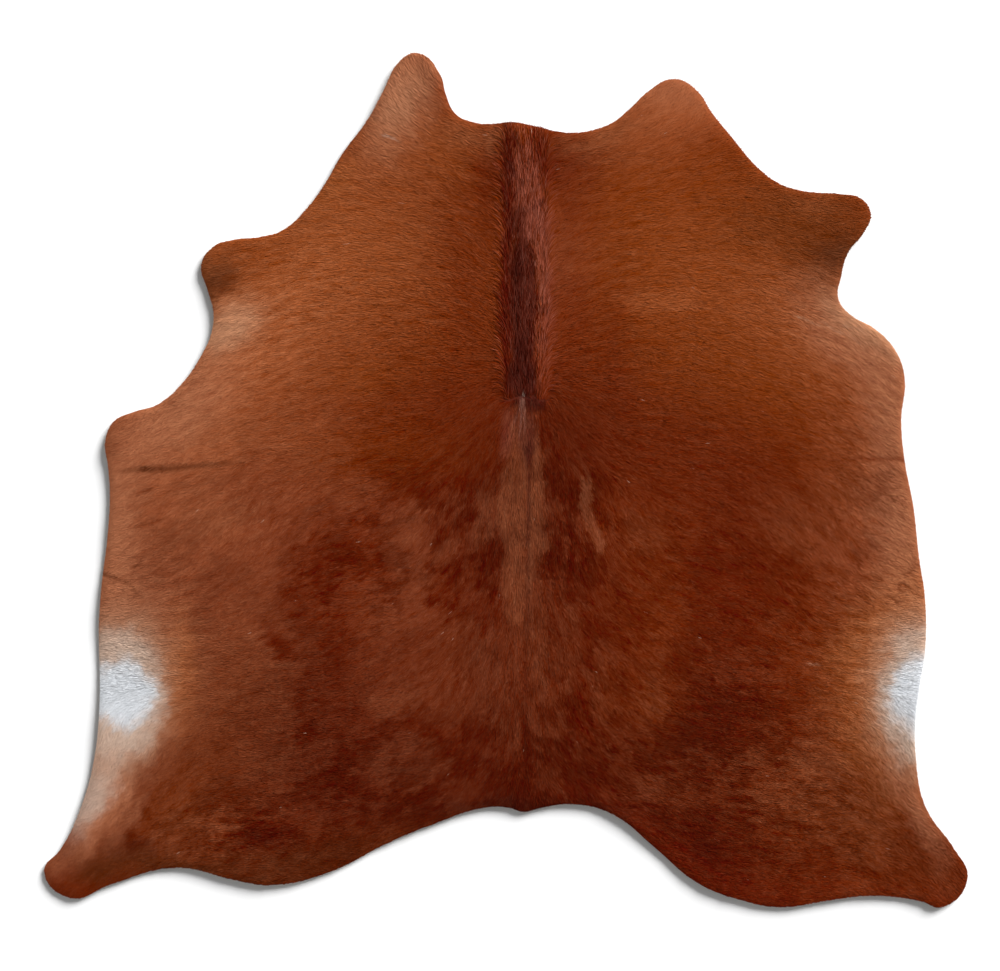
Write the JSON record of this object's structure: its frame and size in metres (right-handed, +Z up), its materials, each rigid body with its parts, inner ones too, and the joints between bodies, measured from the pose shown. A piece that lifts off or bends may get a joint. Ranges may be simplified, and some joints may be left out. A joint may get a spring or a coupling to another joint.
{
  "type": "hair-on cowhide rug (leather hide)",
  "caption": "Whole hair-on cowhide rug lying flat: reddish-brown coat with a dark dorsal stripe, pale belly patches and lobed legs and neck.",
  "frame": {"origin": "on the underside, in the middle of the hide's bounding box", "axes": "+Z up out of the hair side, +Y towards the neck along the spine, +X towards the right hind leg as seen from above"},
  "size_m": [2.1, 1.943, 0.0066],
  "materials": {
    "hide": "short lying hair, softly glossy, red-brown"
  },
  "bodies": {
    "root": {"hide": "hide"}
  },
  "joints": []
}
